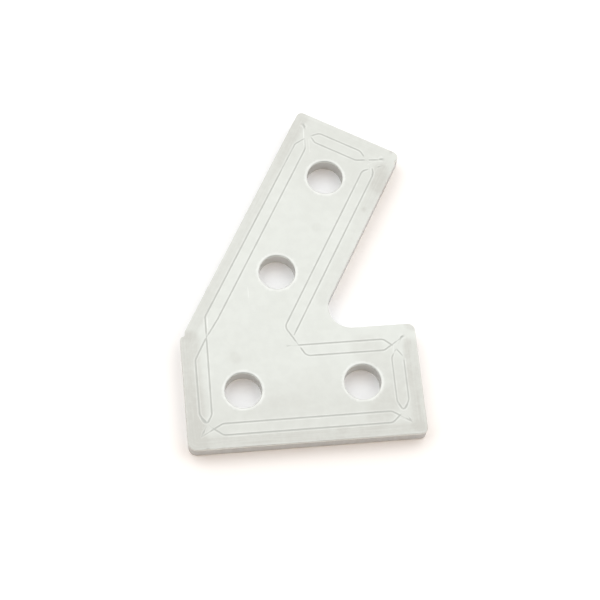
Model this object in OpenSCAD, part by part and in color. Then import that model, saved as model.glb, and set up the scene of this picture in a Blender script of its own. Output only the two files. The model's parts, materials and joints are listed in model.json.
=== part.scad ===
// Flat angle bracket: one plate with two arms at a fixed angle, two screw holes in each arm
// and an engraved border of two rules on the front face.
// The level arm lies along +X, and the slanted arm rises from the level arm's left end.
// Origin: axis of the corner hole on the back face. +Z points out of the engraved face.

/* [Plate] */
// Width of both arms
arm_width = 9.8; // [9.2:0.1:12]
// Thickness of the plate
thickness = 1.6; // [1.2:0.1:3]
// Angle between the two arms
arm_angle = 60; // [50:1:70]
// Radius of the outer corners
corner_r = 0.5; // [0.4:0.1:1]
// Radius of the fillet in the notch between the arms
notch_r = 1.9; // [1:0.1:2.5]
// Width of the broken edge along the outline
edge_break = 0.12; // [0.05:0.01:0.2]

/* [Holes] */
// Diameter of the screw holes
hole_d = 3.1; // [2.6:0.1:4]
// Spacing of the two holes in each arm
hole_pitch = 10; // [9:0.5:16]
// Distance from the last hole of an arm to the arm's end
end_distance = 4.95; // [4.5:0.05:7]
// Distance from the outer bend to the first hole of the slanted arm, along the arm
first_hole = 9.1; // [8.5:0.1:12]
// Offset of the slanted arm's row of holes from the arm's middle, towards its outer edge
row_shift = 0.15; // [0:0.05:0.3]
// Width of the broken edge round each hole
hole_break = 0.1; // [0.05:0.01:0.2]

/* [Engraved border] */
// Distance from the plate's edge to the outer rule
border_margin = 1.2; // [0.9:0.05:1.4]
// Distance between the two rules
rule_gap = 1; // [0.6:0.05:1.2]
// Length that a rule gives up to the crossing at each square corner
corner_run = 1.8; // [1.4:0.1:2.2]
// Length that the inner rules give up to the diagonal at the notch
notch_run = 3.15; // [2.6:0.05:3.6]
// Width of an engraved line
line_width = 0.14; // [0.1:0.01:0.2]
// Depth of an engraved line
line_depth = 0.07; // [0.04:0.01:0.12]

/* [Hidden] */
$fn = 96;
// How far a cutting shape reaches past the face that it cuts
over = 0.1;
// How far the notch's fillet bites into both arms, so that it meets their edges at a point
bite = 0.001;
// How far the notch's broken edge turns past both ends of the fillet, in degrees
turn_over = 4;

// Rows of holes and ends of the arms
level_row = arm_width / 2;
slant_row = arm_width / 2 - row_shift;
level_holes = [level_row, level_row + hole_pitch];
slant_holes = [first_hole, first_hole + hole_pitch];
level_length = level_holes[1] + end_distance;
slant_length = slant_holes[1] + end_distance;

// Unit vectors along the slanted arm and across it, from its outer edge inwards
along = [cos(arm_angle), sin(arm_angle)];
across = [sin(arm_angle), -cos(arm_angle)];
right = [1, 0];
up = [0, 1];

// Fillet of the notch: the sharp corner that it replaces, its reach along each arm, its centre
notch_tip = [arm_width / sin(arm_angle), arm_width];
notch_tip_on_slant = arm_width / tan(arm_angle);
notch_reach = notch_r / tan(arm_angle / 2);
notch_centre = notch_tip + [notch_reach, notch_r];

// Point on the slanted arm, s along it from the outer bend and q across it from its outer edge
function on_slant(s, q) = [0, arm_width] + s * along + q * across;
// Point where a level line at height y meets the slanted arm's line at q
function level_meets_slant(y, q) = [(q + (y - arm_width) * cos(arm_angle)) / sin(arm_angle), y];
// Point where an upright line at x meets the slanted arm's line at q
function upright_meets_slant(x, q) = [x, arm_width + (x * sin(arm_angle) - q) / cos(arm_angle)];

// Places a shape made along +X, with the plate on its +Y side, on the slanted arm's notch side
module on_slanted_arm() {
    translate([0, arm_width]) rotate(arm_angle) translate([0, -arm_width]) children();
}

// Places a shape made for a square corner, with its sides along +X and +Y, at both corners of an arm's end
module at_end_corners(length) {
    translate([length, 0]) rotate(90) children();
    translate([length, arm_width]) rotate(180) children();
}

// Rounds a square corner at the origin
module corner_trim() {
    difference() {
        translate([-over, -over]) square(corner_r + over);
        translate([corner_r, corner_r]) circle(corner_r);
    }
}

// Outline of the plate
module outline() {
    difference() {
        square([level_length, arm_width]);
        corner_trim();
        at_end_corners(level_length) corner_trim();
    }
    on_slanted_arm() difference() {
        square([slant_length, arm_width]);
        at_end_corners(slant_length) corner_trim();
    }
    difference() {
        polygon([
            notch_tip - over * (right + along),
            notch_tip + notch_reach * right,
            notch_centre,
            notch_tip + notch_reach * along
        ]);
        translate(notch_centre) circle(notch_r + bite);
    }
}

// Section that breaks an edge on both faces: x runs into the plate from the edge
module break_section() {
    for (side = [0, 1]) translate([0, side * thickness]) mirror([0, side])
        polygon([[-over, edge_break + over], [edge_break + over, -over], [-over, -over]]);
}

// Breaks a straight edge along +X from the origin, with the plate on its +Y side
module straight_break(length) {
    rotate([90, 0, 90]) linear_extrude(length) break_section();
}

// Breaks the edge of a rounded corner at the origin
module corner_break() {
    translate([corner_r, corner_r]) rotate(180) rotate_extrude(angle = 90)
        translate([corner_r, 0]) mirror([1, 0]) break_section();
}

// Breaks the square end of an arm and its two corners
module end_break(length) {
    translate([length, 0]) rotate(90) straight_break(arm_width);
    at_end_corners(length) corner_break();
}

// Breaks the edges of both faces all round the outline
module outline_breaks() {
    // Level arm: its end, bottom, left side, left corner and notch side
    end_break(level_length);
    straight_break(level_length);
    translate([0, arm_width + over]) rotate(-90) straight_break(arm_width + over);
    corner_break();
    translate([level_length, arm_width]) rotate(180)
        straight_break(level_length - notch_tip.x - notch_reach);
    // Slanted arm: its end, outer side and notch side
    on_slanted_arm() {
        end_break(slant_length);
        translate([slant_length, arm_width]) rotate(180) straight_break(slant_length + over);
        translate([slant_length, 0]) mirror([1, 0])
            straight_break(slant_length - notch_tip_on_slant - notch_reach);
    }
    // Fillet of the notch
    translate(notch_centre) rotate(90 + arm_angle - turn_over)
        rotate_extrude(angle = 180 - arm_angle + 2 * turn_over)
            translate([notch_r + bite, 0]) break_section();
}

// Screw hole with its edge broken on both faces
module screw_hole() {
    mouth_d = hole_d + 2 * (hole_break + over);
    translate([0, 0, -over]) cylinder(h = thickness + 2 * over, d = hole_d);
    for (side = [0, 1]) translate([0, 0, side * thickness]) mirror([0, 0, side])
        translate([0, 0, -over]) cylinder(h = hole_break + over, d1 = mouth_d, d2 = hole_d);
}

// One pass of a pointed cutter over the front face, from p to q, with half its width of run-out
module engraved_line(p, q) {
    run = q - p;
    run_out = line_width / 2;
    half_top = run_out * (1 + over / line_depth);
    translate([p.x, p.y, thickness]) rotate(atan2(run.y, run.x)) translate([-run_out, 0, 0])
        rotate([90, 0, 90]) linear_extrude(norm(run) + 2 * run_out)
            polygon([[0, -line_depth], [half_top, over], [-half_top, over]]);
}

// Both rules of a straight side between two square corners, with inwards pointing away from the edge
module rule_pair(p, q, inwards) {
    run = corner_run * (q - p) / norm(q - p);
    for (step = [0, rule_gap]) engraved_line(p + run + step * inwards, q - run + step * inwards);
}

// Square corner of the border, with sides a and b: the outer rule cuts across it, and the inner
// rule of each side runs out to its point
module crossed_corner(p, a, b) {
    engraved_line(p + corner_run * a, p + corner_run * b);
    engraved_line(p + corner_run * a + rule_gap * b, p);
    engraved_line(p + corner_run * b + rule_gap * a, p);
}

// Engraved border of two rules, laid out about the rows of holes
module border() {
    outer = arm_width / 2 - border_margin;
    inner = outer - rule_gap;
    level_end = level_length - border_margin;
    slant_end = slant_length - border_margin;
    left_outer = level_row - outer;
    left_inner = level_row - inner;
    // Points of the five square corners
    bottom_left = [left_outer, level_row - outer];
    bottom_right = [level_end, level_row - outer];
    level_top = [level_end, level_row + outer];
    slant_left = on_slant(slant_end, slant_row - outer);
    slant_right = on_slant(slant_end, slant_row + outer);
    crossed_corner(bottom_left, right, up);
    crossed_corner(bottom_right, -right, up);
    crossed_corner(level_top, -right, -up);
    crossed_corner(slant_left, -along, across);
    crossed_corner(slant_right, -along, -across);
    // Sides between two square corners
    rule_pair(bottom_left, bottom_right, up);
    rule_pair(bottom_right, level_top, -right);
    rule_pair(slant_left, slant_right, -along);
    // Outer bend: each rule runs straight on to the other rule of the next side
    outer_to_inner = upright_meets_slant(left_outer, slant_row - inner);
    inner_to_outer = upright_meets_slant(left_inner, slant_row - outer);
    engraved_line(bottom_left + corner_run * up, outer_to_inner);
    engraved_line(bottom_left + corner_run * up + rule_gap * right, inner_to_outer);
    engraved_line(inner_to_outer, slant_left - corner_run * along);
    engraved_line(outer_to_inner, slant_left - corner_run * along + rule_gap * across);
    // Notch: a diagonal joins the inner rules, the level arm's outer rule runs through it, and the
    // slanted arm's outer rule stops at it
    inner_meet = level_meets_slant(level_row + inner, slant_row + inner);
    outer_meet = level_meets_slant(level_row + outer, slant_row + outer);
    past_meet = notch_run - norm(outer_meet - inner_meet) / cos(arm_angle / 2);
    engraved_line(inner_meet + notch_run * right, inner_meet + notch_run * along);
    engraved_line(inner_meet + notch_run * right, level_top - corner_run * right - rule_gap * up);
    engraved_line(inner_meet + notch_run * along, slant_right - corner_run * along - rule_gap * across);
    engraved_line(outer_meet, level_top - corner_run * right);
    engraved_line(outer_meet + past_meet * along, slant_right - corner_run * along);
}

module bracket_plate() {
    color([0.83, 0.84, 0.82]) translate([-level_row, -level_row]) difference() {
        linear_extrude(thickness) outline();
        outline_breaks();
        for (x = level_holes) translate([x, level_row]) screw_hole();
        for (s = slant_holes) translate(on_slant(s, slant_row)) screw_hole();
        border();
    }
}

bracket_plate();
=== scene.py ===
"""Looks of a small flat angle bracket: a tumbled aluminium plate with an engraved border of two rules.

Sizes are in millimetres until a mesh is made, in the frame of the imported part. The origin is the corner
hole's axis on the back face, +X runs along the level arm and +Z points out of the engraved face.
"""

import json
import logging
import math
from collections.abc import Iterable, Sequence
from dataclasses import dataclass, field, replace
from enum import Enum

import bpy
import numpy as np
from mathutils import Matrix, Vector, noise
from mathutils.geometry import delaunay_2d_cdt


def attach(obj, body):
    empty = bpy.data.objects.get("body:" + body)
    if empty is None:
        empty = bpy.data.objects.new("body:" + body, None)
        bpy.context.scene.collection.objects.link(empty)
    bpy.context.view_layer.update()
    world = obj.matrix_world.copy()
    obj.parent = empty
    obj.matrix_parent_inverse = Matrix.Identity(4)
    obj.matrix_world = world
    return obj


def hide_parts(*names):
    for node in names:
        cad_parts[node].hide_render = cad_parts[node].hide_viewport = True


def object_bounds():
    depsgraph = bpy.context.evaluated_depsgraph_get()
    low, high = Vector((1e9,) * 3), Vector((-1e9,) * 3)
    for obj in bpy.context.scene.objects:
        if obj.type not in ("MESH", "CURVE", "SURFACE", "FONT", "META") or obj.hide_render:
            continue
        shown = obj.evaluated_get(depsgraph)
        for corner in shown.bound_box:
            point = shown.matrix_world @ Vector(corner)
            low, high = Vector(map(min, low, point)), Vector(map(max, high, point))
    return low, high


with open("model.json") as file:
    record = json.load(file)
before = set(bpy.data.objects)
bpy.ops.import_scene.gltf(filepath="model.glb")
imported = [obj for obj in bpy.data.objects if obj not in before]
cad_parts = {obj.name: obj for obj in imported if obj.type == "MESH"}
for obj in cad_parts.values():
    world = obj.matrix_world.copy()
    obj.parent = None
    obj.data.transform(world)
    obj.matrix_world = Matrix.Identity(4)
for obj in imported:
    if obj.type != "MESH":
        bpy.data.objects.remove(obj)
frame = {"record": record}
cad_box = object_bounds()

LOG = logging.getLogger("angle_bracket")
MM = 0.001
# Options of the triangulation: only triangles inside the edges, and how near two points count as one
INSIDE_EDGES = 1
SAME_POINT = 1e-7
Array = np.ndarray
Socket = bpy.types.NodeSocket
Colour = tuple[float, float, float]
Triple = tuple[float, float, float]
Place = tuple[float, float]
Span = tuple[float, float]


class Skin(Enum):
    """Surface of the plate, which decides its finish. The value is the mesh's material index."""

    FACE = 0
    SIDE = 1
    BORE = 2
    BACK = 3


class Trace(Enum):
    """Value that each point of the plate carries for its finish."""

    GAP = "edge_gap"
    # CUT: share of the engraved lines' darker colour, which is painted shade
    CUT = "engraved"
    # SMUDGE_AND_SHADE: grime, and painted shade towards both ends of the face
    SMUDGE_AND_SHADE = "smudge_and_shade"
    # POLISH_AND_GLINT: polish from handling, and painted highlight on the hole rims, the lips and the
    # scratches
    POLISH_AND_GLINT = "polished_and_glinting"


class MixKind(Enum):
    """Kind of blend: Blender's name for it, then the numbers of its first input and its output."""

    VALUE = ("FLOAT", 2, 0)
    COLOUR = ("RGBA", 6, 2)


def unit(vector: Array) -> Array:
    """Gives the vector's direction."""
    return vector / np.linalg.norm(vector)


def eased(share: Array) -> Array:
    """Turns a share, held between 0 and 1, into a smooth step."""
    held = np.clip(share, 0.0, 1.0)
    return held * held * (3.0 - 2.0 * held)


@dataclass(frozen=True)
class Ripple:
    """Smooth unevenness: its share, the size of one wave and its depth in the noise."""

    share: float
    size: float
    layer: float

    def at(self, points: Array) -> Array:
        """Gives the unevenness at points of the plane or of space, one row each."""
        x, y, z = (np.column_stack([points, np.zeros(len(points))])[:, :3] / self.size).T
        return self.share * np.array([noise.noise(Vector(spot)) for spot in zip(x, y, z + self.layer)])


def rippled(points: Array, ripples: Iterable[Ripple], level: float = 1.0) -> Array:
    """Adds ripples to an even level, at points of the plane or of space."""
    return sum((ripple.at(points) for ripple in ripples), level)


@dataclass(frozen=True)
class Path:
    """Points in the plane, one row each. On a closed path the last point joins the first."""

    points: Array
    closed: bool = False

    @classmethod
    def rounded(cls, corners: list[tuple[Array, float]], step: float, closed: bool = False) -> "Path":
        """Makes a path of straight runs with an arc at each corner.

        Args:
            corners: Sharp corners, each with its arc's radius. The ends of an open path have no arc.
            step: Distance between two points.
            closed: Whether the last corner joins the first.

        Returns:
            The path.
        """
        runs = []
        for index, (corner, radius) in enumerate(corners):
            if not closed and index in (0, len(corners) - 1):
                runs.append(corner[None])
                continue
            before = unit(corners[index - 1][0] - corner)
            after = unit(corners[(index + 1) % len(corners)][0] - corner)
            half = math.acos(np.clip(before @ after, -1.0, 1.0)) / 2
            reach = radius / math.tan(half)
            centre = corner + unit(before + after) * radius / math.sin(half)
            start, end = corner + before * reach - centre, corner + after * reach - centre
            first = math.atan2(start[1], start[0])
            sweep = (math.atan2(end[1], end[0]) - first + math.pi) % math.tau - math.pi
            turns = first + sweep * np.linspace(0.0, 1.0, max(3, math.ceil(abs(sweep) * radius / step)))
            runs.append(centre + radius * np.column_stack([np.cos(turns), np.sin(turns)]))
        return cls(np.vstack(runs), closed).spaced(step)

    def spaced(self, step: float) -> "Path":
        """Spaces the points evenly.

        Args:
            step: Distance between two points, which is adjusted to fit the length.

        Returns:
            The new path.
        """
        whole = np.vstack([self.points, self.points[:1]]) if self.closed else self.points
        lengths = np.linalg.norm(np.diff(whole, axis=0), axis=1)
        travelled = np.concatenate([[0.0], np.cumsum(lengths)])
        stops = np.linspace(0.0, travelled[-1], max(2, round(travelled[-1] / step)) + 1)
        if self.closed:
            stops = stops[:-1]
        columns = [np.interp(stops, travelled, whole[:, axis]) for axis in range(2)]
        return Path(np.column_stack(columns), self.closed)

    def normals(self) -> Array:
        """Gives the direction to the right at each point.

        Returns:
            One unit vector a row. On a closed path that turns left, they point outwards.
        """
        if self.closed:
            run = np.roll(self.points, -1, axis=0) - np.roll(self.points, 1, axis=0)
        else:
            run = np.gradient(self.points, axis=0)
        run /= np.linalg.norm(run, axis=1, keepdims=True)
        return np.column_stack([run[:, 1], -run[:, 0]])

    def nearest(self, points: Array, batch: int = 4096) -> Array:
        """Finds the path's nearest point to each of many points.

        Args:
            points: Points to look from, one row each.
            batch: How many points are compared at a time.

        Returns:
            The index on the path for each point.
        """
        found = []
        for start in range(0, len(points), batch):
            away = points[start:start + batch, None, :] - self.points[None]
            found.append(np.argmin((away ** 2).sum(axis=2), axis=1))
        return np.concatenate(found)


@dataclass(frozen=True)
class Bore:
    """Screw hole of the plate."""

    centre: Array
    radius: float

    def outwards(self, sides: int) -> Array:
        """Gives directions away from the axis, clockwise as seen from above."""
        turns = -np.linspace(0.0, math.tau, sides, endpoint=False)
        return np.column_stack([np.cos(turns), np.sin(turns)])


@dataclass
class PlateForm:
    """Outline of the plate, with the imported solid's sizes, worn corners and a nick at the outer bend."""

    bores: list[Bore]
    thickness: float
    arm_width: float = 9.8
    arm_angle: float = math.radians(60.0)
    level_length: float = 19.85
    slant_length: float = 24.05
    slant_row: float = 4.75
    corner_r: float = 0.5
    worn_corner_r: float = 0.62
    outer_corner_r: float = 0.75
    notch_r: float = 1.9
    bend_r: float = 0.3
    nick_r: float = 0.05
    nick: tuple[Place, ...] = ((0.41, 10.46), (0.40, 10.08), (0.08, 9.98))
    outline_step: float = 0.1

    def __post_init__(self) -> None:
        """Works out the directions of the two arms."""
        self.level_row = self.arm_width / 2
        self.along = np.array([math.cos(self.arm_angle), math.sin(self.arm_angle)])
        self.across = np.array([math.sin(self.arm_angle), -math.cos(self.arm_angle)])
        self.right, self.up = np.eye(2)

    @classmethod
    def of_frame(cls, record: dict, box: tuple[Vector, Vector]) -> "PlateForm":
        """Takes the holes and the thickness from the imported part.

        Args:
            record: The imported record, whose bores are the screw holes.
            box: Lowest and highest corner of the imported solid, in metres.

        Returns:
            The plate's form.
        """
        holes = [mount for mount in record["mounts"] if mount["kind"] == "bore"]
        bores = [Bore(np.array(hole["pos_m"][:2]) / MM, hole["dims"]["r_mm"]) for hole in holes]
        return cls(bores=bores, thickness=(box[1].z - box[0].z) / MM)

    def on_level(self, x: float, y: float) -> Array:
        """Gives the point at x and y from the level arm's outer corner."""
        return np.array([x, y]) - self.level_row

    def on_slant(self, s: float, q: float) -> Array:
        """Gives the point at s along the slanted arm from the outer bend and q from its outer edge."""
        return self.on_level(0.0, self.arm_width) + s * self.along + q * self.across

    def level_meets_slant(self, y: float, q: float) -> Array:
        """Gives the point where the level line at y meets the slanted arm's line at q."""
        run = q + (y - self.arm_width) * math.cos(self.arm_angle)
        return self.on_level(run / math.sin(self.arm_angle), y)

    def upright_meets_slant(self, x: float, q: float) -> Array:
        """Gives the point where the upright line at x meets the slanted arm's line at q."""
        rise = (x * math.sin(self.arm_angle) - q) / math.cos(self.arm_angle)
        return self.on_level(x, self.arm_width + rise)

    def outline(self) -> Path:
        """Gives the outline, anticlockwise from the outer corner.

        Returns:
            The closed path.
        """
        width, length, end = self.arm_width, self.level_length, self.slant_length
        return Path.rounded([
            (self.on_level(0.0, 0.0), self.outer_corner_r),
            (self.on_level(length, 0.0), self.corner_r),
            (self.on_level(length, width), self.worn_corner_r),
            (self.level_meets_slant(width, width), self.notch_r),
            (self.on_slant(end, width), self.worn_corner_r),
            (self.on_slant(end, 0.0), self.corner_r),
            *[(self.on_level(*place), self.nick_r) for place in self.nick],
            (self.on_level(0.0, width), self.bend_r),
        ], self.outline_step, closed=True)


@dataclass
class Stroke:
    """One pass of a pointed tool, with its share of the full depth at each point."""

    path: Path
    depth: Array
    shine: float = 0.0


@dataclass(frozen=True)
class Lift:
    """Place where the cutter rode up and left the lines shallow."""

    place: Place
    reach: float
    share: float


@dataclass(frozen=True)
class SquareCorner:
    """Square corner of the border: its point, and how far before it each side's rules bend."""

    point: Array
    start: Array
    end: Array
    start_run: float
    end_run: float

    def cut_across(self, bow: float) -> list[Array]:
        """Gives the outer rule's corners from the end side back, the middle one bowed to the point."""
        middle = (self.start_bend(0.0) + self.end_bend(0.0)) / 2
        return [self.end_bend(0.0), middle + bow * unit(self.point - middle), self.start_bend(0.0)]

    def start_bend(self, gap: float) -> Array:
        """Gives the place where the start side's rule bends, at a gap from the outer rule."""
        return self.point + self.start_run * self.start + gap * self.end

    def end_bend(self, gap: float) -> Array:
        """Gives the place where the end side's rule bends, at a gap from the outer rule."""
        return self.point + self.end_run * self.end + gap * self.start


@dataclass
class EngravedBorder:
    """Two rules that follow the outline and cross at the corners, cut by a pointed cutter.

    The pairs of corner_runs say how far before each square corner the rules of its two sides bend,
    anticlockwise from the outer corner. Depths of strokes are shares of line_depth. A lip's place and
    span are in half widths of a line.
    """

    form: PlateForm
    margin: float = 1.2
    rule_gap: float = 1.0
    level_shift: float = -0.07
    end_shift: float = -0.09
    slant_end_shift: float = -0.04
    corner_runs: tuple[Span, ...] = ((1.85, 1.85), (1.55, 1.85), (1.7, 1.55), (1.7, 1.95), (1.5, 1.9))
    notch_run: float = 3.15
    short_stop: float = 0.25
    low_tip: Place = (0.36, -0.55)
    bow: float = 0.16
    bend_slip: float = 0.1
    bend_run: float = 3.0
    bend_r: float = 0.6
    line_width: float = 0.178
    line_depth: float = 0.018
    dark_gain: float = 1.6
    lip_height: float = 0.003
    lip_place: float = 1.45
    lip_span: float = 0.75
    # lip_shine: share of painted highlight on the lips beside each rule
    lip_shine: float = 0.5
    step: float = 0.09
    uneven_share: float = 0.15
    uneven_size: float = 0.9
    fade_run: float = 0.5
    end_depth: float = 0.6
    least_depth: float = 0.01
    pit_depth: float = 1.5
    scratch_depth: float = 0.25
    lift_plateau: float = 1.6
    lifts: tuple[Lift, ...] = (
        Lift((-3.25, -2.72), 0.25, 0.15), Lift((-3.0, -2.93), 0.42, 0.28), Lift((-3.38, -3.05), 0.35, 0.35),
        Lift((-3.2, -3.45), 0.4, 0.5), Lift((-3.7, -3.7), 0.3, 0.7), Lift((12.98, -2.9), 0.38, 0.12),
        Lift((13.0, -3.4), 0.4, 0.35), Lift((13.4, -3.15), 0.45, 0.2), Lift((13.1, -2.74), 0.28, 0.12),
        Lift((13.1, 2.9), 0.4, 0.1), Lift((13.45, 3.2), 0.4, 0.2), Lift((13.63, 1.85), 0.3, 0.2),
        Lift((12.9, 2.4), 0.25, 0.3), Lift((12.56, 20.7), 0.32, 0.0), Lift((12.66, 20.26), 0.24, 0.0),
        Lift((12.88, 19.45), 0.42, 0.0), Lift((12.8, 20.05), 0.38, 0.0), Lift((12.68, 20.52), 0.16, 0.1),
        Lift((13.2, 19.8), 0.4, 0.05), Lift((7.63, 23.15), 0.5, 0.0), Lift((7.8, 23.7), 0.42, 0.3),
        Lift((7.37, 22.5), 0.7, 0.55), Lift((7.35, 23.6), 0.5, 0.05), Lift((5.0, 20.6), 0.95, 0.6),
        Lift((5.75, 21.9), 0.95, 0.6), Lift((4.97, 3.45), 0.2, 0.1), Lift((4.6, 3.67), 0.5, 0.25),
        Lift((-2.68, 5.0), 0.35, 0.6), Lift((14.0, 19.94), 0.5, 0.35), Lift((13.7, 0.0), 3.5, 0.8),
    )
    hook_r: float = 0.24
    hooks: tuple[tuple[Place, ...], ...] = (
        ((-3.64, -2.18), (-3.28, -2.86), (-2.98, -2.28)),
        ((12.78, -2.2), (13.14, -2.9), (13.5, -2.25)),
        ((12.96, 18.9), (13.04, 19.25), (13.0, 19.58)),
    )
    pits: tuple[tuple[Place, ...], ...] = (
        ((7.38, 24.32), (7.47, 24.14)),
        ((13.66, 3.68), (13.78, 3.76)),
        ((13.8, 20.47), (13.95, 20.47)),
    )
    # The third value of each scratch is its share of painted highlight
    scratches: tuple[tuple[Place, Place, float], ...] = (
        ((7.25, 22.2), (7.36, 24.0), 1.0), ((7.67, 21.8), (7.74, 22.9), 0.6),
        ((-2.53, 5.75), (-2.5, 6.75), 1.0), ((12.84, 18.95), (12.9, 19.55), 0.9),
        ((12.65, 20.05), (13.4, 20.3), 0.5), ((12.7, -3.4), (13.45, -3.78), 0.5),
        ((12.82, 2.4), (12.95, 3.0), 0.8), ((13.76, 1.3), (13.8, 1.75), 0.6),
        ((1.15, 8.3), (1.15, 9.1), 0.8), ((12.55, -1.6), (12.52, -0.7), 0.6),
    )

    def __post_init__(self) -> None:
        """Works out where the outer rules run on both arms."""
        form, outer = self.form, self.form.arm_width / 2 - self.margin
        self.low, self.high = (form.level_row + side * outer + self.level_shift for side in (-1, 1))
        self.left_q, self.right_q = (form.slant_row + side * outer for side in (-1, 1))

    def corners(self) -> list[SquareCorner]:
        """Lays out the five square corners.

        Returns:
            The corners, anticlockwise from the outer one.
        """
        form = self.form
        right, up, along, across = form.right, form.up, form.along, form.across
        level_end = form.level_length - self.margin + self.end_shift
        slant_end = form.slant_length - self.margin + self.slant_end_shift
        laid = [
            (form.on_level(self.low, self.low), up, right),
            (form.on_level(level_end, self.low), -right, up),
            (form.on_level(level_end, self.high), -up, -right),
            (form.on_slant(slant_end, self.right_q), -along, -across),
            (form.on_slant(slant_end, self.left_q), across, -along),
        ]
        return [SquareCorner(*sides, *runs) for sides, runs in zip(laid, self.corner_runs)]

    def inner_rule(self, first: SquareCorner, last: SquareCorner) -> list[Array]:
        """Gives the corners of the inner rule between two square corners, from point to point."""
        return [first.point, first.end_bend(self.rule_gap), last.start_bend(self.rule_gap), last.point]

    def passes(self) -> list[list[Array]]:
        """Lays out the border's six passes.

        Returns:
            The corners of each pass.
        """
        form, gap, slip = self.form, self.rule_gap, self.bend_slip
        bottom_left, bottom_right, level_top, slant_right, slant_left = self.corners()
        outer_to_inner = form.upright_meets_slant(self.low, self.left_q + gap - slip)
        inner_to_outer = form.upright_meets_slant(self.low + gap + slip, self.left_q - slip / 2)
        past_bend = form.on_slant(self.bend_run, self.left_q + gap)
        crossing = (outer_to_inner + past_bend) / 2 - slip * form.across
        inner_meet = form.level_meets_slant(self.high - gap, self.right_q - gap)
        outer_meet = form.level_meets_slant(self.high, self.right_q)
        diagonal = np.linalg.norm(outer_meet - inner_meet) / math.cos(form.arm_angle / 2)
        level_outer = [
            outer_meet,
            *level_top.cut_across(self.bow),
            *bottom_right.cut_across(self.bow),
            *bottom_left.cut_across(self.bow),
            outer_to_inner, crossing, past_bend,
            slant_left.end_bend(gap), slant_left.point,
        ]
        slant_outer = [
            bottom_left.point, bottom_left.start_bend(gap), inner_to_outer,
            *slant_left.cut_across(self.bow),
            *slant_right.cut_across(self.bow),
            outer_meet + (self.notch_run - diagonal + self.short_stop) * form.along,
        ]
        notch_inner = [
            level_top.point, level_top.end_bend(gap),
            inner_meet + self.notch_run * form.right,
            inner_meet + self.notch_run * form.along,
            slant_right.start_bend(gap), slant_right.point + np.array(self.low_tip),
        ]
        bottom_inner = self.inner_rule(bottom_left, bottom_right)
        end_inner = self.inner_rule(bottom_right, level_top)
        slant_end_inner = self.inner_rule(slant_right, slant_left)[::-1]
        return [level_outer, slant_outer, bottom_inner, end_inner, notch_inner, slant_end_inner]

    def pass_along(self, corners: list[Array], layer: float) -> Stroke:
        """Makes one pass of the cutter.

        Args:
            corners: Corners of the pass, which the cutter rounds a little.
            layer: Depth in the noise that makes the pass uneven.

        Returns:
            The stroke, shallower at both ends and at the lifts.
        """
        path = Path.rounded([(corner, self.bend_r) for corner in corners], self.step)
        travelled = np.arange(len(path.points)) * self.step
        depth = rippled(path.points, [Ripple(self.uneven_share, self.uneven_size, layer)])
        for run in (travelled, travelled[::-1]):
            depth *= self.end_depth + (1.0 - self.end_depth) * eased(run / self.fade_run)
        for lift in self.lifts:
            away = np.linalg.norm(path.points - np.array(lift.place), axis=1) / lift.reach
            depth *= 1.0 - (1.0 - lift.share) * eased(self.lift_plateau * (1.0 - away))
        return Stroke(path, np.maximum(depth, self.least_depth))

    def strokes(self) -> list[Stroke]:
        """Makes every stroke of the border.

        Returns:
            The passes, the overrun hooks, the pits where the cutter went in and the scratches, which carry a
            painted highlight.
        """
        made = [self.pass_along(corners, float(layer)) for layer, corners in enumerate(self.passes())]
        marks = [(hook, 1.0, 0.0) for hook in self.hooks]
        marks += [(pit, self.pit_depth, 0.0) for pit in self.pits]
        marks += [((start, end), self.scratch_depth, shine) for start, end, shine in self.scratches]
        for places, depth, shine in marks:
            path = Path.rounded([(np.array(place), self.hook_r) for place in places], self.step)
            made.append(Stroke(path, np.full(len(path.points), depth), shine))
        return made

    def engraving(self, points: Array, strokes: list[Stroke]) -> tuple[Array, Array, Array]:
        """Works out how strokes change the face.

        Args:
            points: Points on the face, seen from above, one row each.
            strokes: Strokes of the border.

        Returns:
            How far each point is pushed up or cut down, how much painted shade it gets in a cut and how much
            painted highlight its lips and the scratches get, the last two from 0 to 1.
        """
        drop, lip, dark, shine = np.zeros((4, len(points)))
        for stroke in strokes:
            path = stroke.path
            index = path.nearest(points)
            away = points - path.points[index]
            ends = (index == 0) | (index == len(path.points) - 1)
            beside = np.abs((away * path.normals()[index]).sum(axis=1))
            distance = np.where(ends, np.linalg.norm(away, axis=1), beside)
            depth = stroke.depth[index]
            share = distance / (self.line_width / 2 * np.sqrt(depth))
            sunk = np.clip(1.0 - share, 0.0, 1.0)
            drop = np.maximum(drop, self.line_depth * depth * sunk)
            if stroke.shine:
                shine = np.maximum(shine, stroke.shine * np.clip(self.dark_gain * sunk, 0.0, 1.0))
                continue
            swell = np.sqrt(depth) * eased(1.0 - np.abs(share - self.lip_place) / self.lip_span)
            # Painted shade: the middle of each cut gets a darker colour
            dark = np.maximum(dark, np.clip(self.dark_gain * sunk * depth, 0.0, 1.0))
            lip = np.maximum(lip, self.lip_height * swell)
            shine = np.maximum(shine, self.lip_shine * swell)
        return lip * (1.0 - dark) - drop, dark, shine * (1.0 - dark)


@dataclass(frozen=True)
class Dent:
    """Place where a knock pushed the metal in."""

    place: Triple
    reach: float
    push: Triple

    def push_at(self, points: Array) -> Array:
        """Gives how far the knock moved each point of the plate."""
        away = np.linalg.norm(points - np.array(self.place), axis=1) / self.reach
        return eased(1.0 - away)[:, None] * np.array(self.push)


@dataclass(frozen=True)
class Smudge:
    """Greyish spot or streak on the face, from one place to another. Some are grime; the broadest ones are
    painted shade that darkens the face towards both ends.
    """

    start: Place
    end: Place
    reach: float
    strength: float


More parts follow.
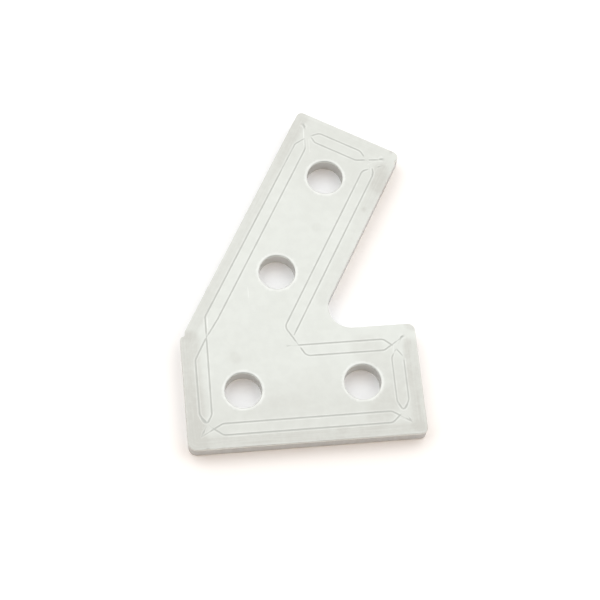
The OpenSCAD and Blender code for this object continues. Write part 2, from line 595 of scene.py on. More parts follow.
@dataclass
class WearAndShadeMarks:
    """Knocks and grime that the plate has from use, and painted shade towards both ends of the face."""

    dents: tuple[Dent, ...] = (
        Dent((-3.35, -4.9, 1.6), 0.3, (0.0, 0.08, -0.03)),
        Dent((-2.1, -4.9, 1.6), 0.3, (0.0, 0.05, -0.02)),
        Dent((15.19, 20.09, 1.6), 0.4, (-0.13, 0.07, -0.02)),
    )
    smudges_and_shade: tuple[Smudge, ...] = (
        # The two broad ones on this line are painted shade: they darken the face towards the slanted arm's
        # end and towards the bottom. The long narrow bands below darken the left, right, bottom and slanted
        # margins.
        Smudge((9.0, 24.5), (13.5, 22.0), 9.0, 0.27), Smudge((-4.0, -5.5), (15.0, -5.5), 8.0, 0.31),
        Smudge((-4.3, -4.0), (-4.3, 4.6), 1.3, 0.7), Smudge((-4.0, -4.45), (14.5, -4.45), 0.85, 0.4),
        Smudge((14.45, -4.0), (14.45, 2.8), 0.95, 0.47), Smudge((-4.11, 5.37), (7.24, 25.03), 0.85, 0.4),
        Smudge((10.5, 2.9), (13.2, 0.5), 1.6, 0.28), Smudge((13.55, -3.62), (13.66, -3.66), 0.16, 0.6),
        Smudge((7.45, 7.59), (14.45, 19.71), 0.85, 0.18), Smudge((13.3, 17.9), (13.7, 19.3), 1.0, 0.45),
        Smudge((11.0, 22.9), (14.0, 21.2), 0.9, 0.08), Smudge((11.0, -3.0), (12.4, -1.5), 1.4, 0.32),
        Smudge((14.0, 2.1), (14.1, 3.3), 0.45, 0.3), Smudge((14.2, 4.75), (14.8, 4.4), 0.3, 0.5),
        Smudge((14.85, 21.3), (14.95, 21.24), 0.18, 1.0), Smudge((-0.5, 3.0), (-0.4, 2.8), 0.6, 0.3),
        Smudge((2.6, -1.2), (4.3, -1.2), 0.8, 0.12), Smudge((7.8, -3.95), (8.0, -3.95), 0.5, 0.4),
        Smudge((11.8, 15.7), (11.85, 15.8), 0.25, 0.4), Smudge((7.5, 14.3), (7.6, 14.4), 0.5, 0.2),
    )
    plateau: float = 1.8

    def knock(self, points: Array) -> Array:
        """Pushes points in space in at the dents."""
        return sum((dent.push_at(points) for dent in self.dents), points)

    def spots(self, points: Array) -> Array:
        """Gives how much grime and painted shade each point has.

        Args:
            points: Points of the plate, seen from above, one row each.

        Returns:
            Amounts from 0 to 1, added up where they overlap.
        """
        amount = np.zeros(len(points))
        for smudge_and_shade in self.smudges_and_shade:
            start, run = np.array(smudge_and_shade.start), np.subtract(smudge_and_shade.end, smudge_and_shade.start)
            share = np.clip((points - start) @ run / (run @ run), 0.0, 1.0)
            away = np.linalg.norm(points - start - share[:, None] * run, axis=1) / smudge_and_shade.reach
            amount += smudge_and_shade.strength * eased(self.plateau * (1.0 - away))
        return np.clip(amount, 0.0, 1.0)


@dataclass
class MeshDraft:
    """Points and faces of a mesh while it is being made. A point's fourth value is its rub."""

    points: list[Array] = field(default_factory=list)
    faces: list[tuple[int, ...]] = field(default_factory=list)
    # Points and faces of a mesh while it is being made. A point's fourth value is its polish and painted
    # highlight.
    skins: list[int] = field(default_factory=list)
    count: int = 0

    def add_points(self, points: Array, polish_and_glint: float = 0.0) -> Array:
        """Adds points.

        Args:
            points: Points in space, one row each.
            polish_and_glint: How far handling has polished them and how much painted highlight they get, from
                0 to 1.

        Returns:
            Their numbers.
        """
        self.points.append(np.column_stack([points, np.full(len(points), polish_and_glint)]))
        self.count += len(points)
        return np.arange(self.count - len(points), self.count)

    def add_faces(self, faces: Array, skin: Skin) -> None:
        """Adds faces, given by the numbers of their points, to a surface."""
        self.faces.extend(map(tuple, faces.tolist()))
        self.skins.extend([skin.value] * len(faces))

    def add_band(self, lower: Array, upper: Array, skin: Skin) -> None:
        """Joins a closed ring, anticlockwise for an outer wall, to the ring above it."""
        band = np.column_stack([lower, np.roll(lower, -1), np.roll(upper, -1), upper])
        self.add_faces(band, skin)

    def add_sheet(self, loops: Sequence[Array], inside: Array, skin: Skin, faces_up: bool) -> Array:
        """Fills the room between an outer ring and the rings of the holes with triangles.

        Args:
            loops: Numbers of each ring's points, the outer ring first.
            inside: Points between the rings, in the plane, one row each.
            skin: Surface that the faces belong to.
            faces_up: Whether the sheet faces up.

        Returns:
            Numbers of the inside points, whose height is still zero.
        """
        raised = self.add_points(np.column_stack([inside, np.zeros(len(inside))]))
        numbers = np.concatenate([*loops, raised])
        flat = [Vector(spot[:2]) for spot in np.vstack(self.points)[numbers]]
        edges, ring_of = [], np.zeros(len(numbers), dtype=int)
        for ring, loop in enumerate(loops):
            run = np.arange(len(edges), len(edges) + len(loop))
            ring_of[run] = ring
            edges += zip(run.tolist(), np.roll(run, -1).tolist())
        triangles = np.array(delaunay_2d_cdt(flat, edges, [], INSIDE_EDGES, SAME_POINT)[2])
        rings = ring_of[triangles]
        fills_hole = (rings[:, 0] > 0) & (rings == rings[:, :1]).all(axis=1)
        triangles = numbers[triangles[~fills_hole]]
        self.add_faces(triangles if faces_up else triangles[:, ::-1], skin)
        return raised

    def mesh(self, name: str, points: Array) -> bpy.types.Mesh:
        """Makes the Blender mesh.

        Args:
            name: Name of the mesh.
            points: Final place of every point, in millimetres.

        Returns:
            The mesh, smooth, with a material index on each face.
        """
        mesh = bpy.data.meshes.new(name)
        mesh.from_pydata((points * MM).tolist(), [], self.faces)
        mesh.polygons.foreach_set("material_index", self.skins)
        mesh.polygons.foreach_set("use_smooth", [True] * len(self.faces))
        mesh.validate()
        mesh.update()
        return mesh


@dataclass(frozen=True)
class Wall:
    """Wall between the back and the face, with a rolled edge at both.

    A roll is given by its reach into the metal and its depth. The polish_and_glint value says how far
    handling has polished the rolls and how much painted highlight they get, from 0 to 1.
    """

    skin: Skin
    back_roll: Span
    face_roll: Span
    ripples: tuple[Ripple, ...]
    waviness: float
    polish_and_glint: float


@dataclass
class BracketPlate:
    """The whole bracket: one plate with rolled edges, drilled holes, engraved border, wear and painted shade.

    Each of row_offsets is a row of points beside the strokes, in half widths of a line, and crowding is
    the least distance between two points in the same measure.
    """

    form: PlateForm
    border: EngravedBorder
    wear_and_shade: WearAndShadeMarks
    node: str = "bracket_plate"
    name: str = "tumbled_bracket_plate"
    edge: Wall = Wall(
        Skin.SIDE, back_roll=(0.14, 0.14), face_roll=(0.045, 0.045),
        ripples=(Ripple(0.3, 1.1, 11.0), Ripple(0.15, 0.35, 12.0)), waviness=0.012, polish_and_glint=0.1,
    )
    # The bore rims' polish_and_glint of 0.7 paints a highlight round each hole
    bore_wall: Wall = Wall(
        Skin.BORE, back_roll=(0.13, 0.06), face_roll=(0.13, 0.06),
        ripples=(Ripple(0.2, 0.9, 21.0),), waviness=0.0, polish_and_glint=0.7,
    )
    wall_ripple: Ripple = Ripple(1.0, 0.8, 31.0)
    wall_squash: float = 0.3
    roll_rows: int = 6
    hold: float = 0.025
    wall_rows: int = 8
    hole_sides: int = 120
    face_sink: float = 0.014
    crown: float = 0.012
    crown_run: float = 1.3
    face_ripples: tuple[Ripple, ...] = (Ripple(0.0012, 2.6, 3.0), Ripple(0.0008, 0.7, 5.0))
    row_offsets: tuple[float, ...] = (0.0, 0.5, -0.5, 1.0, -1.0, 1.5, -1.5, 2.1, -2.1)
    crowding: float = 0.4
    grid_step: float = 0.17
    back_step: float = 0.6
    row_clear: float = 0.07
    edge_clear: float = 0.28
    hole_clear: float = 0.239

    def __post_init__(self) -> None:
        """Lays out the outline."""
        self.outline = self.form.outline()

    def build(self) -> bpy.types.Object:
        """Builds the plate's mesh and its object.

        Returns:
            The plate, riding on the part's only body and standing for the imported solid.
        """
        draft = MeshDraft()
        strokes = self.border.strokes()
        walls = [self.add_wall(draft, self.edge, self.outline.points, -self.outline.normals())]
        for bore in self.form.bores:
            outwards = bore.outwards(self.hole_sides)
            walls.append(self.add_wall(draft, self.bore_wall, bore.centre + bore.radius * outwards, outwards))
        top_loops, back_loops = zip(*walls)
        raised = draft.add_sheet(top_loops, self.face_points(strokes), Skin.FACE, faces_up=True)
        draft.add_sheet(back_loops, self.freed(self.grid(self.back_step)), Skin.BACK, faces_up=False)
        points, polish_and_glint = np.split(np.vstack(draft.points), [3], axis=1)
        polish_and_glint, flat = polish_and_glint.ravel(), points[:, :2]
        gap = np.maximum(0.0, self.inset(flat))
        cut = np.zeros(len(points))
        rise, cut[raised], shine = self.border.engraving(flat[raised], strokes)
        polish_and_glint[raised] = np.maximum(polish_and_glint[raised], shine)
        points[raised, 2] = self.face_height(flat[raised], gap[raised]) + rise
        mesh = draft.mesh(self.name, self.wear_and_shade.knock(points))
        traces = {Trace.GAP: gap, Trace.CUT: cut, Trace.SMUDGE_AND_SHADE: self.wear_and_shade.spots(flat), Trace.POLISH_AND_GLINT: polish_and_glint}
        for trace, values in traces.items():
            mesh.attributes.new(trace.value, "FLOAT", "POINT").data.foreach_set("value", values)
        plate = bpy.data.objects.new(self.name, mesh)
        bpy.context.scene.collection.objects.link(plate)
        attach(plate, "root")
        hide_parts(self.node)
        return plate

    def face_height(self, points: Array, gap: Array | float) -> Array:
        """Gives the face's height at points with a gap to the outline, before it is engraved."""
        fall = self.crown * np.clip(1.0 - gap / self.crown_run, 0.0, 1.0) ** 2
        return self.form.thickness - self.face_sink - fall + rippled(points, self.face_ripples, 0.0)

    def add_wall(self, draft: MeshDraft, wall: Wall, path: Array, into: Array) -> tuple[Array, Array]:
        """Makes a wall of rings, from the back to the face.

        Args:
            draft: Mesh that the wall goes into.
            wall: What the wall is like.
            path: Points of the wall, seen from above.
            into: Direction into the metal at each point.

        Returns:
            Numbers of the ring that bounds the face, and of the ring that bounds the back.
        """
        swell = rippled(path, wall.ripples)
        back_reach, back_depth = (size * swell for size in wall.back_roll)
        face_reach, face_depth = (size * swell for size in wall.face_roll)
        gap = self.crown_run if wall.skin is Skin.BORE else face_reach
        top = self.face_height(path + into * face_reach[:, None], gap)
        zero = np.zeros(len(path))
        turns = np.linspace(0.0, math.pi / 2, self.roll_rows + 1)
        bends = list(zip(1.0 - np.cos(turns), 1.0 - np.sin(turns)))
        shares = np.linspace(0.0, 1.0, self.wall_rows + 2)[1:-1]
        rings = [
            (back_reach + self.hold, zero, Skin.BACK),
            *[(back_reach * inwards, back_depth * down, Skin.BACK) for inwards, down in bends[::-1]],
            *[(zero, back_depth + share * (top - back_depth - face_depth), wall.skin) for share in shares],
            *[(face_reach * inwards, top - face_depth * down, Skin.FACE) for inwards, down in bends],
            (face_reach + self.hold, top, Skin.FACE),
        ]
        numbered = []
        for inset, height, skin in rings:
            shake = rippled(np.column_stack([path, height * self.wall_squash]), [self.wall_ripple])
            placed = path + into * (inset + wall.waviness / 2 * shake)[:, None]
            polish_and_glint = 0.0 if skin is wall.skin else wall.polish_and_glint
            numbered.append(draft.add_points(np.column_stack([placed, height]), polish_and_glint))
            if len(numbered) > 1:
                draft.add_band(*numbered[-2:], skin)
        return numbered[-1], numbered[0]

    def inset(self, points: Array) -> Array:
        """Gives how far inside the outline each point lies, seen from above."""
        index = self.outline.nearest(points)
        return ((self.outline.points[index] - points) * self.outline.normals()[index]).sum(axis=1)

    def freed(self, points: Array) -> Array:
        """Leaves out points that lie outside the plate or on its rolled edges.

        Args:
            points: Points in the plane, one row each.

        Returns:
            The points that stay.
        """
        free = self.inset(points) > self.edge_clear
        for bore in self.form.bores:
            free &= np.linalg.norm(points - bore.centre, axis=1) > bore.radius + self.hole_clear
        return points[free]

    def grid(self, step: float) -> Array:
        """Gives a grid of staggered points over the outline's box.

        Args:
            step: Distance between two points.

        Returns:
            The points, one row each.
        """
        low, high = self.outline.points.min(axis=0), self.outline.points.max(axis=0)
        upwards = np.arange(low[1], high[1], step * math.sqrt(3.0) / 2)
        x, y = np.meshgrid(np.arange(low[0], high[0], step), upwards)
        x[1::2] += step / 2
        return np.column_stack([x.ravel(), y.ravel()])

    def face_points(self, strokes: list[Stroke]) -> Array:
        """Gives the face's inner points: rows beside each stroke, and a grid between them.

        Args:
            strokes: Strokes of the border.

        Returns:
            The points, one row each, none of them crowded.
        """
        half = self.border.line_width / 2
        paths = [stroke.path for stroke in strokes]
        offsets = [offset * half for offset in self.row_offsets]
        beside = [path.points + path.normals() * offset for offset in offsets for path in paths]
        grid = self.grid(self.grid_step)
        lines = np.vstack([path.points for path in paths])
        away = np.linalg.norm(grid - lines[Path(lines).nearest(grid)], axis=1)
        grid = grid[away > max(offsets) + self.row_clear]
        return self.thinned(self.freed(np.vstack([*beside, grid])), half * self.crowding)

    def thinned(self, points: Array, apart: float) -> Array:
        """Leaves out points that crowd an earlier one.

        Args:
            points: Points in the plane, one row each.
            apart: Least distance between two points.

        Returns:
            The points that stay.
        """
        cells: dict[tuple[int, int], list[Array]] = {}
        kept = []
        for point in points:
            column, row = (int(part // apart) for part in point)
            block = [(column + i, row + j) for i in (-1, 0, 1) for j in (-1, 0, 1)]
            near = [other for cell in block for other in cells.get(cell, ())]
            if all(math.dist(other, point) >= apart for other in near):
                cells.setdefault((column, row), []).append(point)
                kept.append(point)
        return np.array(kept)

    def dress(self, plate: bpy.types.Object, finishes: dict[Skin, "MetalFinish"]) -> None:
        """Gives each surface of the plate its finish."""
        for skin in Skin:
            plate.data.materials.append(finishes[skin].material())


class NodeKit:
    """Adds nodes to a tree and links them."""

    def __init__(self, tree: bpy.types.NodeTree) -> None:
        """Starts with an empty tree."""
        self.tree = tree
        tree.nodes.clear()

    def feed(self, socket: Socket, value: object) -> None:
        """Links a socket to another one, or sets it.

        Args:
            socket: Input socket.
            value: Output socket to link, or a plain value.
        """
        if isinstance(value, Socket):
            self.tree.links.new(value, socket)
        else:
            socket.default_value = (*value, 1.0) if socket.type == "RGBA" else value

    def node(self, kind: str, settings: dict, *inputs: object, **named: object) -> bpy.types.Node:
        """Adds a node.

        Args:
            kind: Blender's name of the shader node.
            settings: Properties of the node.
            inputs: First inputs in order.
            named: Inputs by name, with spaces written as underscores.

        Returns:
            The node.
        """
        node = self.tree.nodes.new("ShaderNode" + kind)
        for name, setting in settings.items():
            setattr(node, name, setting)
        for socket, value in zip(node.inputs, inputs):
            self.feed(socket, value)
        for name, value in named.items():
            self.feed(node.inputs[name.replace("_", " ")], value)
        return node

    def group(self, tree: bpy.types.NodeTree, **named: object) -> bpy.types.NodeOutputs:
        """Places a shared effect and gives its outputs."""
        return self.node("Group", {"node_tree": tree}, **named).outputs

    def maths(self, operation: str, *values: object) -> Socket:
        """Works out a value from others."""
        return self.node("Math", {"operation": operation}, *values).outputs[0]

    def noise_at(self, place: object, scale: object, **values: float) -> Socket:
        """Gives the value of a noise texture."""
        return self.node("TexNoise", {}, Vector=place, Scale=scale, **values).outputs["Fac"]

    def spread(self, value: object, span: Span, ends: Span = (0.0, 1.0)) -> Socket:
        """Maps a span to two ends, smoothly and without passing them."""
        smooth = {"interpolation_type": "SMOOTHSTEP"}
        return self.node("MapRange", smooth, value, *span, *ends).outputs["Result"]

    def blended(self, share: object, base: object, over: object, kind: MixKind = MixKind.COLOUR) -> Socket:
        """Lays a colour or a value over another one.

        Args:
            share: How much of the second one shows.
            base: First colour or value.
            over: Second colour or value.
            kind: Whether they are colours.

        Returns:
            The blend.
        """
        data_type, first, result = kind.value
        node = self.node("Mix", {"data_type": data_type})
        for index, value in ((0, share), (first, base), (first + 1, over)):
            self.feed(node.inputs[index], value)
        return node.outputs[result]


class GroupKit(NodeKit):
    """Builds a shared effect: a node group whose sockets have names."""

    def __init__(self, name: str, inputs: dict[str, str], outputs: list[str]) -> None:
        """Starts a group.

        Args:
            name: Name of the group.
            inputs: Socket type of each input, by name.
            outputs: Names of the outputs, which are all values.
        """
        super().__init__(bpy.data.node_groups.new(name, "ShaderNodeTree"))
        for label, kind in inputs.items():
            self.tree.interface.new_socket(name=label, in_out="INPUT", socket_type=kind)
        for label in outputs:
            self.tree.interface.new_socket(name=label, in_out="OUTPUT", socket_type="NodeSocketFloat")
        self.inlet = self.tree.nodes.new("NodeGroupInput").outputs
        self.outlet = self.tree.nodes.new("NodeGroupOutput").inputs


@dataclass
class SharedEffects:
    """Node groups that more than one finish uses.

    The sizes of coarse waves and pits are shares of the grain's. A span is the part of a noise's range
    that is drawn out to the whole range.
    """

    coarse_share: float = 0.22
    pit_share: float = 0.5
    pit_span: Span = (0.05, 0.4)
    pit_height: float = 0.35
    tone_span: Span = (0.3, 0.7)
    line_span: Span = (0.32, 0.68)
    cloud_per_mm: float = 0.3
    cloud_span: Span = (0.42, 0.72)
    cloud_film: Span = (0.0, 0.08)
    speck_per_mm: float = 2.5
    speck_span: Span = (0.3, 0.65)
    speck_film: Span = (0.85, 1.1)

    def __post_init__(self) -> None:
        """Builds each group once."""
        self.grain = self.build_grain()
        self.tool_marks = self.build_tool_marks()
        self.film_and_shade = self.build_film_and_shade()

    def build_grain(self) -> bpy.types.NodeTree:
        """Builds the fine pitted grain that tumbling leaves.

        Returns:
            The group, which gives a height and a tone.
        """
        inputs = {"Place": "NodeSocketVector", "Per mm": "NodeSocketFloat"}
        nodes = GroupKit("tumbled_grain", inputs, ["Height", "Tone"])
        place, per_mm = nodes.inlet["Place"], nodes.inlet["Per mm"]
        fine = nodes.noise_at(place, per_mm, Detail=3.0, Roughness=0.6)
        wide = nodes.maths("MULTIPLY", per_mm, self.coarse_share)
        coarse = nodes.noise_at(place, wide, Detail=2.0, Roughness=0.5)
        apart = nodes.maths("MULTIPLY", per_mm, self.pit_share)
        pits = nodes.node("TexVoronoi", {}, Vector=place, Scale=apart).outputs["Distance"]
        height = nodes.maths("MULTIPLY_ADD", nodes.spread(pits, self.pit_span), self.pit_height, fine)
        nodes.feed(nodes.outlet["Height"], height)
        nodes.feed(nodes.outlet["Tone"], nodes.spread(coarse, self.tone_span))
        return nodes.tree

    def build_tool_marks(self) -> bpy.types.NodeTree:
        """Builds fine lines that run along whichever direction is stretched.

        Returns:
            The group, which gives a height and a tone.
        """
        inputs = {"Place": "NodeSocketVector", "Stretch": "NodeSocketVector"}
        nodes = GroupKit("tool_marks", inputs, ["Height", "Tone"])
        place, stretch = nodes.inlet["Place"], nodes.inlet["Stretch"]
        stretched = nodes.node("VectorMath", {"operation": "MULTIPLY"}, place, stretch).outputs[0]
        lines = nodes.noise_at(stretched, 1.0, Detail=3.0, Roughness=0.55)
        nodes.feed(nodes.outlet["Height"], lines)
        nodes.feed(nodes.outlet["Tone"], nodes.spread(lines, self.line_span))
        return nodes.tree

    def build_film_and_shade(self) -> bpy.types.NodeTree:
        """Builds the uneven film that handling leaves, thicker at the smudges, which also lay painted shade.

        Returns:
            The group, which gives the share of film and painted shade.
        """
        inputs = {"Place": "NodeSocketVector", "Smudge": "NodeSocketFloat"}
        nodes = GroupKit("handling_film_and_shade", inputs, ["Film"])
        cloud = nodes.noise_at(nodes.inlet["Place"], self.cloud_per_mm, Detail=4.0, Roughness=0.55)
        patchy = nodes.spread(cloud, self.cloud_span, self.cloud_film)
        specks = nodes.noise_at(nodes.inlet["Place"], self.speck_per_mm, Detail=3.0, Roughness=0.6)
        spotted = nodes.spread(specks, self.speck_span, self.speck_film)
        nodes.feed(nodes.outlet["Film"], nodes.maths("MULTIPLY_ADD", nodes.inlet["Smudge"], spotted, patchy))
        return nodes.tree


@dataclass(frozen=True)
class MetalFinish:
    """Finish of one surface of the plate. What isn't said is as on the engraved face."""

    effects: SharedEffects
    name: str = "tumbled_face"
    pale: Colour = (0.829, 0.845, 0.798)
    deep: Colour = (0.775, 0.786, 0.745)
    # cut: darker colour of the engraved lines, painted shade of the grooves
    cut: Colour = (0.729, 0.74, 0.701)
    # film_and_shade: grey of the handling film, also laid as painted shade towards both ends of the face
    film_and_shade: Colour = (0.682, 0.678, 0.632)
    # polished_and_glinting: paler colour of polished metal, also a painted highlight on the hole rims, the
    # lips beside the rules and the scratches
    polished_and_glinting: Colour = (0.95, 0.96, 0.92)
    roughness: float = 0.475
    rougher: float = 0.505
    polished: float = 0.42
    cut_roughness: float = 0.75
    grain_per_mm: float = 7.0
    grain_depth: float = 0.003
    mark_stretch: Triple = (0.22, 0.22, 6.5)
    mark_depth: float = 0.002
    mark_reach: float = 2.4
    streak_share: float = 0.4
    tone_share: float = 0.2
    polish_and_glint_ends: Span = (1.0, 0.6)

    def material(self) -> bpy.types.Material:
        """Builds the finish as a material.

        Returns:
            The material, whose colour, roughness and bump come from the shared effects.
        """
        material = bpy.data.materials.new(self.name)
        material.use_nodes = True
        nodes = NodeKit(material.node_tree)
        gap, cut, smudge_and_shade, polish_and_glint_share = (
            nodes.node("Attribute", {"attribute_name": trace.value}).outputs["Fac"] for trace in Trace
        )
        spot = nodes.node("TexCoord", {}).outputs["Object"]
        place = nodes.node("VectorMath", {"operation": "SCALE"}, Vector=spot, Scale=1.0 / MM).outputs[0]
        parts = nodes.node("SeparateXYZ", {}, Vector=place).outputs
        depth = nodes.maths("ADD", parts["Z"], gap)
        beside = nodes.node("CombineXYZ", {}, X=parts["X"], Y=parts["Y"], Z=depth).outputs[0]
        grain = nodes.group(self.effects.grain, Place=place, Per_mm=self.grain_per_mm)
        marks = nodes.group(self.effects.tool_marks, Place=beside, Stretch=self.mark_stretch)
        film_and_shade = nodes.group(self.effects.film_and_shade, Place=place, Smudge=smudge_and_shade)
        near_edge = nodes.spread(gap, (0.0, self.mark_reach), (1.0, 0.0))
        swing = nodes.maths("MULTIPLY", nodes.maths("SUBTRACT", marks["Tone"], 0.5), near_edge)
        streaks = nodes.maths("MULTIPLY", swing, film_and_shade["Film"])
        streaked = nodes.maths("MULTIPLY_ADD", streaks, self.streak_share, film_and_shade["Film"])
        # Painted highlight: where polish_and_glint is high the colour turns paler, besides the lower
        # roughness
        polish_and_glint = nodes.maths("MULTIPLY", polish_and_glint_share, nodes.spread(grain["Tone"], (0.0, 1.0), self.polish_and_glint_ends))
        colour = nodes.blended(nodes.maths("MULTIPLY", grain["Tone"], self.tone_share), self.pale, self.deep)
        # The film colour lays grime and, through the smudge trace, painted shade towards both ends of the
        # face
        for share, over in ((streaked, self.film_and_shade), (cut, self.cut), (polish_and_glint, self.polished_and_glinting)):
            colour = nodes.blended(share, colour, over)
        roughness = nodes.spread(grain["Tone"], (0.0, 1.0), (self.roughness, self.rougher))
        for share, over in ((polish_and_glint, self.polished), (cut, self.cut_roughness)):
            roughness = nodes.blended(share, roughness, over, MixKind.VALUE)
        lines = nodes.maths("MULTIPLY", marks["Height"], nodes.maths("MULTIPLY", near_edge, self.mark_depth))
        height = nodes.maths("MULTIPLY_ADD", grain["Height"], self.grain_depth, lines)
        normal = nodes.node("Bump", {}, Strength=1.0, Distance=MM, Height=height).outputs["Normal"]
        shader = nodes.node(
            "BsdfPrincipled", {}, Base_Color=colour, Metallic=1.0, Roughness=roughness, Normal=normal,
        )
        nodes.node("OutputMaterial", {}, Surface=shader.outputs["BSDF"])
        return material


def plate_finishes(effects: SharedEffects) -> dict[Skin, MetalFinish]:
    """Chooses the finish of each surface of the plate. The sides and bores get darker colours than the face's
    aluminium, which paint shade on the walls.

    Args:
        effects: Node groups that the finishes share.

    Returns:
        The finishes, by surface.
    """
    face = MetalFinish(effects)
    # Painted shade: the side walls' colours are darker than the face's, though the metal is the same
    side = replace(
        face, name="shaded_sheared_side", pale=(0.605, 0.615, 0.62), deep=(0.53, 0.535, 0.53),
        film_and_shade=(0.53, 0.52, 0.50), polished_and_glinting=(0.74, 0.74, 0.72),
        roughness=0.46, rougher=0.58, polished=0.35, grain_per_mm=4.0, grain_depth=0.004,
        mark_stretch=(5.0, 5.0, 0.5), mark_depth=0.010, mark_reach=1.0,
    )
    # Painted shade: the bores' colours are darker than the face's, though the metal is the same
    bore = replace(
        face, name="shaded_drilled_bore", pale=(0.70, 0.695, 0.67), deep=(0.61, 0.60, 0.57),
        film_and_shade=(0.52, 0.51, 0.49), polished_and_glinting=(0.74, 0.74, 0.72),
        roughness=0.36, rougher=0.46, polished=0.30, grain_per_mm=4.0, grain_depth=0.002,
        mark_stretch=(0.4, 0.4, 9.0), mark_depth=0.006, mark_reach=40.0,
    )
    back = replace(face, name="plain_back")
    return {Skin.FACE: face, Skin.SIDE: side, Skin.BORE: bore, Skin.BACK: back}


@dataclass(frozen=True)
class SoftBox:
    """Rectangular studio lamp, aimed at the middle of the plate. Its angles are in degrees."""

    name: str
    azimuth: float
    elevation: float
    width: float
    height: float
    power: float
    colour: Colour = (1.0, 1.0, 1.0)
    distance: float = 350.0


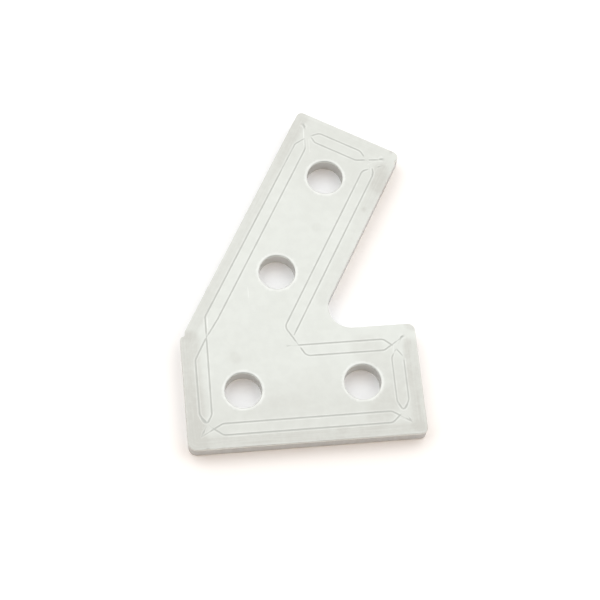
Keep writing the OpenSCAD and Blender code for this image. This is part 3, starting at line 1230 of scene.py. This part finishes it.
@dataclass
class Studio:
    """Floor, lamps, world and camera.

    The lamps and the world's light fall on the floor. The metal reflects the sky instead, which has a low
    and a high part, so that no lamp shows in it. The light and both parts of the sky are given in front of
    the plate and behind it.
    """

    target: Triple = (5.626, 8.330, 0.0)
    azimuth: float = math.radians(-13.761)
    elevation: float = math.radians(67.577)
    roll: float = math.radians(8.848)
    distance: float = 149.04
    lens: float = 104.228
    sensor: float = 36.0
    clip: Span = (1.0, 10000.0)
    floor_size: float = 4000.0
    floor_drop: float = 0.01
    floor_colour: Colour = (0.96, 0.96, 0.96)
    floor_lift: float = 0.1
    bright_side: Triple = (0.15, 0.989, 0.0)
    bright_span: Span = (-0.68, 0.12)
    light: Span = (0.02, 0.95)
    sky: Span = (0.3, 1.12)
    low_sky: Span = (0.38, 0.94)
    sky_rise: Span = (0.35, 0.65)
    lamps: tuple[SoftBox, ...] = (
        SoftBox("back_window", 190.0, 24.0, 500.0, 140.0, 0.08),
        SoftBox("left_softbox", -120.0, 52.0, 450.0, 300.0, 0.42),
        SoftBox("right_softbox", 108.0, 52.0, 450.0, 300.0, 0.37),
        SoftBox("warm_fill", 8.0, 26.0, 500.0, 300.0, 0.46, (1.0, 0.5, 0.12)),
    )

    def facing(self, azimuth: float, elevation: float) -> Vector:
        """Gives the direction from the plate to a viewer, with azimuth 0 in front of it."""
        level = math.cos(elevation)
        return Vector((math.sin(azimuth) * level, -math.cos(azimuth) * level, math.sin(elevation)))

    def build_camera(self) -> None:
        """Makes the camera at the photograph's viewing angle."""
        back = self.facing(self.azimuth, self.elevation)
        right = Vector((math.cos(self.azimuth), math.sin(self.azimuth), 0.0))
        up = back.cross(right)
        level, lean = math.cos(self.roll), math.sin(self.roll)
        turn = Matrix((level * right + lean * up, level * up - lean * right, back)).transposed()
        data = bpy.data.cameras.new("camera")
        data.lens, data.sensor_width = self.lens, self.sensor
        data.clip_start, data.clip_end = (end * MM for end in self.clip)
        camera = bpy.data.objects.new("camera", data)
        spot = (Vector(self.target) + back * self.distance) * MM
        camera.matrix_world = Matrix.Translation(spot) @ turn.to_4x4()
        bpy.context.scene.collection.objects.link(camera)
        bpy.context.scene.camera = camera

    def build_lamps(self) -> None:
        """Hangs the lamps round the plate."""
        for lamp in self.lamps:
            data = bpy.data.lights.new(lamp.name, "AREA")
            data.shape, data.energy, data.color = "RECTANGLE", lamp.power, lamp.colour
            data.size, data.size_y = lamp.width * MM, lamp.height * MM
            away = self.facing(math.radians(lamp.azimuth), math.radians(lamp.elevation))
            holder = bpy.data.objects.new(lamp.name, data)
            holder.location = (Vector(self.target) + away * lamp.distance) * MM
            holder.rotation_mode = "QUATERNION"
            holder.rotation_quaternion = (-away).to_track_quat("-Z", "Y")
            holder.visible_glossy = False
            bpy.context.scene.collection.objects.link(holder)
            LOG.info("lamp %s", lamp.name)

    def seen_directly(self, nodes: NodeKit) -> Socket:
        """Gives 1 where a ray comes from the camera, a gloss or glass, and else 0."""
        path = nodes.node("LightPath", {}).outputs
        direct = nodes.maths("MAXIMUM", path["Is Camera Ray"], path["Is Glossy Ray"])
        return nodes.maths("MAXIMUM", direct, path["Is Transmission Ray"])

    def build_world(self) -> None:
        """Makes the soft light and the sky, both brighter at the back than in front."""
        world = bpy.data.worlds.new("studio")
        world.use_nodes = True
        nodes = NodeKit(world.node_tree)
        way = nodes.node("TexCoord", {}).outputs["Generated"]
        facing = nodes.node("VectorMath", {"operation": "DOT_PRODUCT"}, way, self.bright_side)
        brightness = nodes.spread(facing.outputs["Value"], self.bright_span)
        light, sky, low_sky = (
            nodes.blended(brightness, *front_and_back, MixKind.VALUE)
            for front_and_back in (self.light, self.sky, self.low_sky)
        )
        rise = nodes.node("SeparateXYZ", {}, Vector=way).outputs["Z"]
        seen = nodes.blended(nodes.spread(rise, self.sky_rise), low_sky, sky, MixKind.VALUE)
        colour = nodes.blended(self.seen_directly(nodes), light, seen, MixKind.VALUE)
        soft = nodes.node("Background", {}, Color=colour, Strength=1.0)
        nodes.node("OutputWorld", {}, Surface=soft.outputs[0])
        bpy.context.scene.world = world

    def build_floor(self) -> None:
        """Lays the pale floor, which keeps the plate's shadow."""
        half, low = self.floor_size / 2 * MM, -self.floor_drop * MM
        mesh = bpy.data.meshes.new("floor")
        corners = [(-half, -half, low), (half, -half, low), (half, half, low), (-half, half, low)]
        mesh.from_pydata(corners, [], [(0, 1, 2, 3)])
        material = bpy.data.materials.new("pale_floor")
        material.use_nodes = True
        nodes = NodeKit(material.node_tree)
        matt = nodes.node("BsdfDiffuse", {}, Color=self.floor_colour)
        lift = nodes.maths("MULTIPLY", self.seen_directly(nodes), self.floor_lift)
        glow = nodes.node("Emission", {}, Color=(1.0, 1.0, 1.0), Strength=lift)
        both = nodes.node("AddShader", {}, matt.outputs[0], glow.outputs[0])
        nodes.node("OutputMaterial", {}, Surface=both.outputs[0])
        mesh.materials.append(material)
        floor = bpy.data.objects.new("floor", mesh)
        bpy.context.scene.collection.objects.link(floor)

    def build(self) -> None:
        """Sets up the whole studio."""
        bpy.context.scene.view_settings.view_transform = "Standard"
        self.build_world()
        self.build_floor()
        self.build_lamps()
        self.build_camera()


def main() -> None:
    """Builds the plate, dresses it and sets up the studio."""
    logging.basicConfig(level=logging.INFO, format="%(name)s: %(message)s")
    form = PlateForm.of_frame(frame["record"], cad_box)
    bracket = BracketPlate(form=form, border=EngravedBorder(form), wear_and_shade=WearAndShadeMarks())
    plate = bracket.build()
    bracket.dress(plate, plate_finishes(SharedEffects()))
    LOG.info("piece %s: %d points, %d faces", plate.name, len(plate.data.vertices), len(plate.data.polygons))
    Studio().build()


if __name__ == "__main__":
    main()
